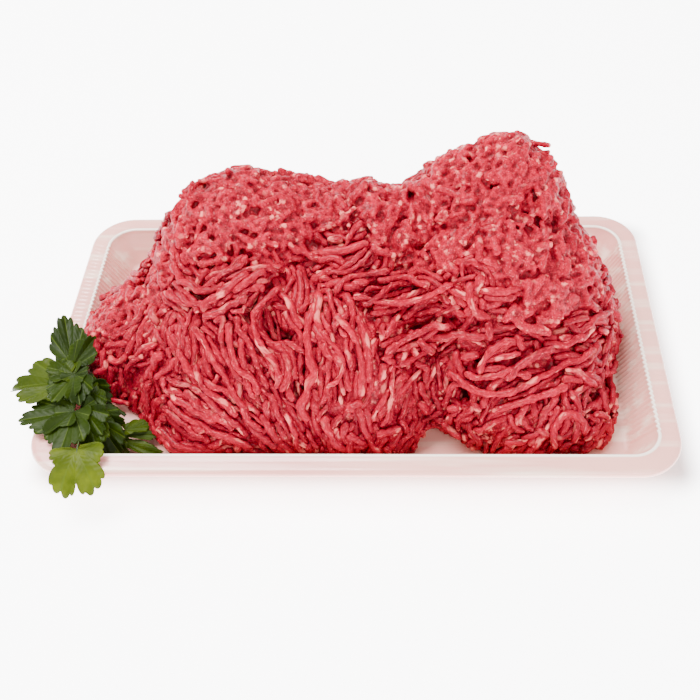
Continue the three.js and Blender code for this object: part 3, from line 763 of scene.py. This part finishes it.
def meat_cells(scale):
    cells = add_node(meat_finish, "ShaderNodeTexVoronoi", Vector=fat_place, Scale=scale)
    pick = add_node(meat_finish, "ShaderNodeSeparateColor", Color=cells.outputs["Color"])
    return cells.outputs["Distance"], pick.outputs["Red"]


_, meat_crumb = meat_cells(0.42)
meat_mottle = meat_range(meat_noise(0.48, 3.0), 0.34, 0.68, 0.0, 0.55)
meat_mixed = meat_math("MULTIPLY_ADD", meat_tone, 0.22, meat_mottle)
meat_mixed = meat_math("MULTIPLY_ADD", meat_math("MULTIPLY", meat_paste, meat_crumb), 0.36, meat_mixed)
meat_colour = ramp_node(meat_finish, meat_mixed,
                        [(0.08, (0.07, 0.001, 0.004)), (0.32, (0.15, 0.001, 0.008)),
                         (0.56, (0.26, 0.001, 0.014)), (0.80, (0.40, 0.003, 0.024)),
                         (1.0, (0.52, 0.012, 0.038))])
meat_streaks = meat_noise(1.2, 2.0)
meat_specks = meat_noise(0.85, 2.0)
fat_distance, fat_random = meat_cells(0.27)
fat_chosen = meat_math("MULTIPLY_ADD", meat_tone, 0.10, fat_random)
fat_chosen = meat_math("MULTIPLY_ADD", meat_paste, 0.11, fat_chosen)
fat_many = meat_range(fat_chosen, 0.86, 1.04, 0.0, 0.85)
fat_near = meat_range(fat_distance, 0.26, 0.56, 1.0, 0.0)
fat_clear = meat_range(meat_ridge, -0.3, 0.1, 0.0, 1.0)
fat_share = meat_math("MULTIPLY", meat_math("MULTIPLY", fat_many, fat_near), fat_clear)
# In order: painted highlight on raised parts, streaks, pale flecks as painted glints, dark flecks, fat,
# painted shade in deep places, painted shade in creases
meat_layers = [
    # Painted highlight: raised parts are coloured lighter.
    (meat_range(meat_ridge, 0.05, 0.6, 0.0, 0.3), (0.38, 0.003, 0.022)),
    (meat_range(meat_streaks, 0.52, 0.68, 0.0, 0.6), (0.60, 0.018, 0.048)),
    # Painted glints: pale flecks stand in for small wet highlights.
    (meat_range(meat_specks, 0.61, 0.71, 0.0, 0.65), (0.88, 0.11, 0.13)),
    (meat_range(meat_specks, 0.32, 0.44, 0.5, 0.0), (0.14, 0.001, 0.005)),
    (fat_share, (0.88, 0.19, 0.16)),
    # Painted shade: deep places are coloured darker, partly also the darker meat inside the heap.
    (meat_range(meat_depth_shading, -9.0, -4.0, 0.7, 0.0), (0.06, 0.001, 0.002)),
    # Painted shade: creases and the sides of strands are coloured darker.
    (meat_range(meat_ridge, -0.6, 0.0, 0.6, 0.0), (0.09, 0.001, 0.004)),
]
for share, colour in meat_layers:
    meat_colour = mix_node(meat_finish, share, meat_colour, colour)
set_inputs(meat_finish, meat_shader, Base_Color=meat_colour,
           Normal=bump_node(meat_finish, meat_streaks, 0.7, 0.0008), Coat_Weight=0.10,
           Coat_Roughness=0.15, Subsurface_Weight=0.15, Subsurface_Radius=(1.0, 0.12, 0.1),
           Subsurface_Scale=0.0012)


def add_mince(name, data):
    for face in data.polygons:
        face.use_smooth = True
    data.materials.append(meat_finish)
    piece = new_object(name, data)
    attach(piece, "root")
    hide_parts("mince_heap")


pasty = strand_crumbly > pasty_from
strand_middle = strand_places[(bounds[:-1] + bounds[1:]) // 2, 0]
strand_cuts = (-far_end, -58.0, 34.0, far_end)
for name, low, high in zip(("mince_strands_left", "mince_strands_middle", "mince_strands_right"),
                           strand_cuts, strand_cuts[1:]):
    part = ~pasty & (strand_middle >= low) & (strand_middle < high)
    data, (tone, along, middle, way, shift) = strand_tubes(name, np.nonzero(part)[0])
    facing = heap_facing(middle)
    depth = heap_depth(middle)
    tone, along, depth, middle, way, shift, facing = (
        np.repeat(values, tube_sides, axis=0)
        for values in (tone, along, depth, middle, way, shift, facing))
    places = read_points(data, "co") * 1000
    outward = ((places - middle) * facing).sum(1)
    tone += 0.45 * lumpy(middle, 13.0)
    set_values(data, "tone", tone)
    set_values(data, "paste", np.full(len(tone), 0.35))
    # Depth and ridge feed the painted shade in deep places and creases and the painted highlight on raised
    # parts.
    set_values(data, "depth", depth + outward)
    set_values(data, "ridge", outward / strand_radius * 0.6)
    set_values(data, "fibre", places - middle + way * (0.45 * along)[:, None] + shift)
    places += read_points(data, "normal") * (0.5 * lumpy(places, 2.7)
                                             + 0.42 * lumpy(places + 77, 1.25))[:, None]
    set_points(data, places)
    ends = bmesh.new()
    ends.from_mesh(data)
    bmesh.ops.holes_fill(ends, edges=ends.edges, sides=tube_sides)
    ends.to_mesh(data)
    ends.free()
    add_mince(name, data)

# Crumbly mince
# The short torn strands stick to each other and to the mass under them, so they have one skin.
# It is kept in four pieces that meet inside the heap.
fuse_size = 0.95
fuse_smoothing = 9
heap_cuts = (-far_end, -72.0, 0.0, 72.0, far_end)
raw_data, _ = strand_tubes("mince_raw", np.nonzero(pasty)[0])
raw_mesh = bmesh.new()
raw_mesh.from_mesh(raw_data)
bmesh.ops.holes_fill(raw_mesh, edges=raw_mesh.edges, sides=tube_sides)
raw_mesh.from_mesh(core_data)
raw_mesh.to_mesh(raw_data)
raw_mesh.free()
raw_heap = new_object("mince_raw", raw_data)
fuse = raw_heap.modifiers.new("fuse", "REMESH")
fuse.mode = "VOXEL"
fuse.voxel_size = fuse_size / 1000
fused = final_mesh(raw_heap)
fused_places = read_points(fused, "co") * 1000
fused_facing = read_points(fused, "normal")
fine = 0.26 * lumpy(fused_places, 2.3) + 0.2 * lumpy(fused_places + 77, 1.3)
fused_places += fused_facing * (fine * (fused_places[:, 2] > 5))[:, None]
set_points(fused, fused_places)
fused_links = np.zeros(len(fused.edges) * 2, dtype=np.int32)
fused.edges.foreach_get("vertices", fused_links)
fused_links = fused_links.reshape(-1, 2)
fused_count = np.bincount(fused_links.ravel(), minlength=len(fused_places))
smooth = fused_places.copy()
for _ in range(fuse_smoothing):
    total = [np.bincount(fused_links[:, 0], smooth[fused_links[:, 1], axis], len(smooth))
             + np.bincount(fused_links[:, 1], smooth[fused_links[:, 0], axis], len(smooth))
             for axis in range(3)]
    smooth = np.stack(total, axis=1) / fused_count[:, None]
fused_tone = 0.5 + 0.5 * lumpy(fused_places, 4.2) + 0.45 * lumpy(fused_places, 13.0)
set_values(fused, "tone", fused_tone)
set_values(fused, "paste", np.ones(len(fused_places)))
# Depth and relief feed the painted shade in deep places and creases and the painted highlight on raised
# parts.
set_values(fused, "depth", heap_depth(fused_places))
set_values(fused, "ridge", ((fused_places - smooth) * fused_facing).sum(1))
set_values(fused, "fibre", fused_places)
for name, low, high in zip(("mince_left_end", "mince_left", "mince_right", "mince_right_end"),
                           heap_cuts, heap_cuts[1:]):
    cut = bmesh.new()
    cut.from_mesh(fused)
    for place, way in ((low, -1), (high, 1)):
        if abs(place) == far_end:
            continue
        geometry = cut.verts[:] + cut.edges[:] + cut.faces[:]
        made = bmesh.ops.bisect_plane(cut, geom=geometry, dist=1e-6,
                                      plane_co=(place / 1000, 0, 0), plane_no=(way, 0, 0),
                                      clear_outer=True)
        rim = [part for part in made["geom_cut"] if isinstance(part, bmesh.types.BMEdge)]
        bmesh.ops.holes_fill(cut, edges=rim, sides=0)
    add_mince(name, mesh_data(name, cut))

# Parsley
# Two sprigs of flat-leaf parsley, as they grow: leaflets on thin green stalks, each cut into broad
# lobes with round teeth. They lie over the meat's left end and over the tray's rim at its corner.
leaf_thickness = 0.4
leaf_turns = 132
leaf_rings = 14
# A lobe has its direction, reach, spread and number of teeth.
three_lobes = ((-1.40, 0.62, 0.38, 2), (-0.76, 0.92, 0.42, 3), (0.0, 1.0, 0.42, 3),
               (0.76, 0.92, 0.42, 3), (1.40, 0.62, 0.38, 2))
two_lobes = ((-1.18, 0.62, 0.42, 3), (-0.42, 0.96, 0.46, 4), (0.46, 1.0, 0.47, 4),
             (1.26, 0.66, 0.44, 3))
leaf_span = 1.76
leaf_heart = 0.12
leaf_breadth = 1.52
tooth_depth = 0.13
stalk_width = 2.4
petiole_width = 1.3


def leaf_edge(angle, lobes, cleft):
    edge, vein = leaf_heart, 1.0
    for middle, reach, spread, teeth in lobes:
        away = (angle - middle) / spread
        if abs(away) >= 1:
            continue
        body = reach * (cleft + (1 - cleft) * (1 - abs(away) ** 3.5) ** 0.4)
        tooth = abs(math.cos(away * teeth * math.pi / 2 + (teeth % 2 == 0) * math.pi / 2))
        body *= 1 - tooth_depth * (1 - math.sqrt(tooth)) * (1 - 0.5 * abs(away))
        if body > edge:
            edge, vein = body, away
    return edge, vein


def add_leaflet(mesh, base, tip, width, droop=0.0, wave=1.4, face=(0.0, 0.0, 1.0), cleft=0.6,
                tone=0.3, lobes=three_lobes):
    start = Vector(base)
    along = Vector(tip) - start
    length = along.length
    along.normalize()
    up = Vector(face)
    up = (up - along * up.dot(along)).normalized()
    across = up.cross(along)
    side_scale = width / (leaf_breadth * length)
    phase = start.x + start.y
    uv = mesh.loops.layers.uv.verify()
    painted_light_layer = mesh.verts.layers.float.get("tone") or mesh.verts.layers.float.new("tone")
    made = bmesh.ops.create_grid(mesh, x_segments=leaf_rings, y_segments=leaf_turns, size=1.0)
    spots = {}
    for point in made["verts"]:
        share = (point.co.x + 1) / 2
        angle = point.co.y * leaf_span
        edge, vein = leaf_edge(angle, lobes, cleft)
        u = share * edge * length * math.cos(angle)
        v = share * edge * length * math.sin(angle) * side_scale
        ripple = wave * share ** 2 * math.sin(4.2 * angle + phase)
        ripple += 0.45 * wave * share ** 3 * math.sin(11 * angle + 2 * phase)
        fold = 0.055 * length * share * abs(vein) + 0.10 * abs(v)
        height = ripple + fold - droop * (u / length) ** 2
        point.co = start + along * u + across * v + up * height
        spots[point] = (vein, share * edge)
        # Each leaflet's tone is partly painted light and shade, copied from how lit it looks, and partly its
        # own green.
        point[painted_light_layer] = tone
    faces = set()
    for point in made["verts"]:
        faces.update(point.link_faces)
    for leaf_face in faces:
        leaf_face.smooth = True
        for corner in leaf_face.loops:
            corner[uv].uv = spots[corner.vert]
    bmesh.ops.remove_doubles(mesh, verts=made["verts"], dist=0.02)


leaf_finish, leaf_shader = new_finish("parsley_leaf", 0.42, 0.08)
leaf_place = object_place(leaf_finish)
leaf_cloud = noise_node(leaf_finish, leaf_place, 90.0, 3.0)
leaf_painted_light = attribute_node(leaf_finish, "tone")
# Painted light and shade: the leaflet's tone, with random blotches, picks its green.
leaf_mixed = math_node(leaf_finish, "MULTIPLY_ADD", leaf_cloud, 0.45, leaf_painted_light)
leaf_green = ramp_node(leaf_finish, leaf_mixed,
                       [(0.15, (0.003, 0.008, 0.0004)), (0.45, (0.015, 0.028, 0.001)),
                        (0.80, (0.042, 0.060, 0.002)), (1.0, (0.100, 0.126, 0.005))])
leaf_map = add_node(leaf_finish, "ShaderNodeUVMap").outputs["UV"]
leaf_lines = add_node(leaf_finish, "ShaderNodeSeparateXYZ", Vector=leaf_map)
leaf_side = math_node(leaf_finish, "ABSOLUTE", leaf_lines.outputs["X"])
leaf_midrib = range_node(leaf_finish, leaf_side, 0.02, 0.09, 0.5, 0.0)
leaf_slant = math_node(leaf_finish, "MULTIPLY_ADD", leaf_side, -0.22, leaf_lines.outputs["Y"])
leaf_rib = math_node(leaf_finish, "SINE", math_node(leaf_finish, "MULTIPLY", leaf_slant, 46.0))
leaf_colour = mix_node(leaf_finish, leaf_midrib, leaf_green, (0.06, 0.09, 0.008))
set_inputs(leaf_finish, leaf_shader, Base_Color=leaf_colour,
           Normal=bump_node(leaf_finish, leaf_rib, 0.16, 0.0003))

stalk_finish, stalk_shader = new_finish("parsley_stalk", 0.35, 0.25)
stalk_cloud = noise_node(stalk_finish, object_place(stalk_finish), 200.0, 2.0)
stalk_colour = ramp_node(stalk_finish, stalk_cloud,
                         [(0.3, (0.010, 0.022, 0.002)), (0.7, (0.03, 0.05, 0.005))])
set_inputs(stalk_finish, stalk_shader, Base_Color=stalk_colour)


def make_sprig(name, node, stalks, leaflets):
    tubes = bpy.data.curves.new(name, "CURVE")
    tubes.dimensions = "3D"
    tubes.bevel_depth = 0.001
    tubes.bevel_resolution = 2
    tubes.resolution_u = 8
    tubes.use_fill_caps = True
    for number, route in enumerate(stalks):
        width = petiole_width if number else stalk_width
        spline = tubes.splines.new("BEZIER")
        spline.bezier_points.add(len(route) - 1)
        for point, place in zip(spline.bezier_points, route):
            point.co = Vector(place) / 1000
            point.radius = width / 2
            point.handle_left_type = "AUTO"
            point.handle_right_type = "AUTO"
    stalk_data = final_mesh(new_object(name, tubes))
    bpy.data.curves.remove(tubes)
    stalk_data.materials.append(stalk_finish)
    stalk_data.name = name + "_stalks"
    stalk_piece = new_object(name + "_stalks", stalk_data)
    leaves = bmesh.new()
    for leaflet in leaflets:
        add_leaflet(leaves, **leaflet)
    bmesh.ops.scale(leaves, vec=(0.001, 0.001, 0.001), verts=leaves.verts)
    bmesh.ops.recalc_face_normals(leaves, faces=leaves.faces)
    leaf_data = mesh_data(name + "_leaves", leaves)
    leaf_data.materials.append(leaf_finish)
    leaf_piece = new_object(name + "_leaves", leaf_data)
    thick = leaf_piece.modifiers.new("thickness", "SOLIDIFY")
    thick.thickness = leaf_thickness / 1000
    thick.offset = 0.0
    for piece in (stalk_piece, leaf_piece):
        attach(piece, "root")
        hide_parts(node)


# Each leaflet's tone is partly painted light and shade: leaflets in light are lighter and shaded ones
# darker; the rest is their own green.
facing_front = (0.1, -0.75, 0.66)
make_sprig("rear_sprig", "parsley_sprig_rear", [
    [(-140, -57, 12), (-150, -53, 20), (-163, -46, 29), (-171, -38, 32), (-175, -28, 33.5)],
    [(-170, -39, 32), (-176, -44, 32), (-186, -46, 31.5)],
    [(-170, -39, 32), (-169, -45, 33), (-166, -55, 33.5)],
    [(-171, -38, 32), (-169, -31, 33.5), (-167, -26, 35)],
    [(-162, -47, 28.5), (-157, -50, 26.5), (-151, -50, 23)],
], [
    dict(base=(-172, -35, 32.5), tip=(-183, -1, 41), width=24, tone=0.12),
    dict(base=(-172, -36, 33), tip=(-159, -19, 42), width=17, tone=0.2, cleft=0.62, face=facing_front),
    dict(base=(-172, -49, 34.5), tip=(-209, -46.5, 29), width=36, tone=0.42, droop=2.0, cleft=0.36),
    dict(base=(-168, -43, 35), tip=(-186, -39, 36), width=21, tone=0.25, cleft=0.55),
    dict(base=(-168, -44, 36), tip=(-176, -66, 36), width=23, tone=0.2, cleft=0.55),
    dict(base=(-167, -44, 36.5), tip=(-160, -66, 34), width=22, tone=0.08, face=facing_front),
    dict(base=(-162, -48, 31), tip=(-147, -54, 22), width=20, tone=0.1, face=facing_front),
    dict(base=(-159, -52, 30), tip=(-149, -69, 27), width=19, tone=0.28, face=facing_front,
         cleft=0.55),
])
make_sprig("front_sprig", "parsley_sprig_front", [
    [(-124, -68, 8.5), (-138, -71, 12), (-147, -72, 19), (-157, -70, 26), (-164, -70, 28.5)],
    [(-160, -70, 27.6), (-168, -70.5, 28.8), (-178, -71, 29)],
    [(-158, -70, 27), (-162, -76, 28.5), (-165, -82, 28.8)],
    [(-157, -70, 26.5), (-157, -81, 30), (-156, -94, 30.8), (-155, -103, 30)],
    [(-148, -72, 20), (-146, -76, 17), (-141, -79, 13)],
    [(-140, -71.5, 13), (-134, -77, 10), (-126, -80, 8.5)],
], [
    dict(base=(-164, -68, 31), tip=(-196, -74, 29), width=29, tone=0.2, wave=0.9, cleft=0.5),
    dict(base=(-164, -68, 31), tip=(-166, -98, 29), width=28, tone=0.18, wave=0.9, cleft=0.58),
    dict(base=(-156, -95, 31), tip=(-153, -121.5, 31), width=38, tone=0.62, droop=14.0, cleft=0.45,
         lobes=two_lobes),
    dict(base=(-159, -66, 32), tip=(-145, -81, 25), width=23, tone=0.12, face=facing_front),
    dict(base=(-156, -69, 29), tip=(-147, -91, 20), width=21, tone=0.25, face=facing_front),
    dict(base=(-151, -70, 24), tip=(-137, -86, 10), width=21, tone=0.12, face=facing_front),
    dict(base=(-154, -66, 27), tip=(-137, -67, 18), width=17, tone=0.1, face=facing_front),
    dict(base=(-146, -76, 17), tip=(-134, -85, 9), width=15, tone=0.3, face=facing_front),
    dict(base=(-141, -72, 13), tip=(-112, -69, 9), width=9, tone=0.3, cleft=0.75, wave=0.6),
    dict(base=(-138, -76, 11.5), tip=(-112, -84, 8.5), width=9, tone=0.32, cleft=0.7, wave=0.6),
    dict(base=(-137, -70, 15), tip=(-122, -62, 11), width=12, tone=0.4, wave=0.6),
])

# Floor and light
# A plain pale floor that glows very bright, with a painted shadow where the glow fades out
# along the foot of the tray. The light is soft and comes from above and behind on the left,
# with a weak fill in front.
floor_half = 4.0
painted_shadow_middle = (0.0045, 0.0125, 0.0)
painted_shadow_half = (0.184, 0.099, 0.0)
painted_shadow_start = 0.002
painted_shadow_end = 0.022
floor_strength = 6.0
floor_mesh = bmesh.new()
bmesh.ops.create_grid(floor_mesh, x_segments=1, y_segments=1, size=floor_half)
floor_data = mesh_data("floor", floor_mesh)
floor = new_object("floor", floor_data)
floor_finish, floor_shader = new_finish("pale_floor", 0.7, 0.2)


def floor_math(operation, *values, result="Vector"):
    return math_node(floor_finish, operation, *values, kind="ShaderNodeVectorMath", result=result)


floor_place = object_place(floor_finish)
floor_colour = ramp_node(floor_finish, noise_node(floor_finish, floor_place, 2.0),
                         [(0.3, (0.88, 0.88, 0.89)), (0.7, (0.90, 0.90, 0.91))])
floor_side = floor_math("ABSOLUTE", floor_math("SUBTRACT", floor_place, painted_shadow_middle))
floor_past = floor_math("MAXIMUM", floor_math("SUBTRACT", floor_side, painted_shadow_half), (0.0, 0.0, 0.0))
floor_far = floor_math("LENGTH", floor_past, result="Value")
# Painted shadow: the floor's glow fades to nothing under and close around the tray.
floor_glow_and_painted_shadow = range_node(floor_finish, floor_far, painted_shadow_start, painted_shadow_end, 0.0, floor_strength)
floor_glow_and_painted_shadow.node.interpolation_type = "SMOOTHSTEP"
set_inputs(floor_finish, floor_shader, Base_Color=floor_colour, Emission_Color=(1.0, 1.0, 1.0),
           Emission_Strength=floor_glow_and_painted_shadow)
floor_data.materials.append(floor_finish)


def add_light(name, place, aim, size, power, colour):
    light = bpy.data.lights.new(name, "AREA")
    light.shape = "DISK"
    light.size = size
    light.energy = power
    light.color = colour
    stand = new_object(name, light)
    stand.location = place
    stand.rotation_euler = (Vector(place) - Vector(aim)).to_track_quat("Z", "Y").to_euler()


light_aim = (0.0, 0.0, 0.05)
add_light("key", (-0.45, 0.30, 1.30), light_aim, 0.9, 58.0, (1.0, 0.98, 0.96))
add_light("fill", (0.5, -1.2, 0.9), light_aim, 1.0, 20.0, (1.0, 0.99, 0.98))
world = bpy.data.worlds.new("studio")
world.use_nodes = True
world.node_tree.nodes["Background"].inputs["Color"].default_value = (1.0, 1.0, 1.0, 1.0)
world.node_tree.nodes["Background"].inputs["Strength"].default_value = 1.35
bpy.context.scene.world = world
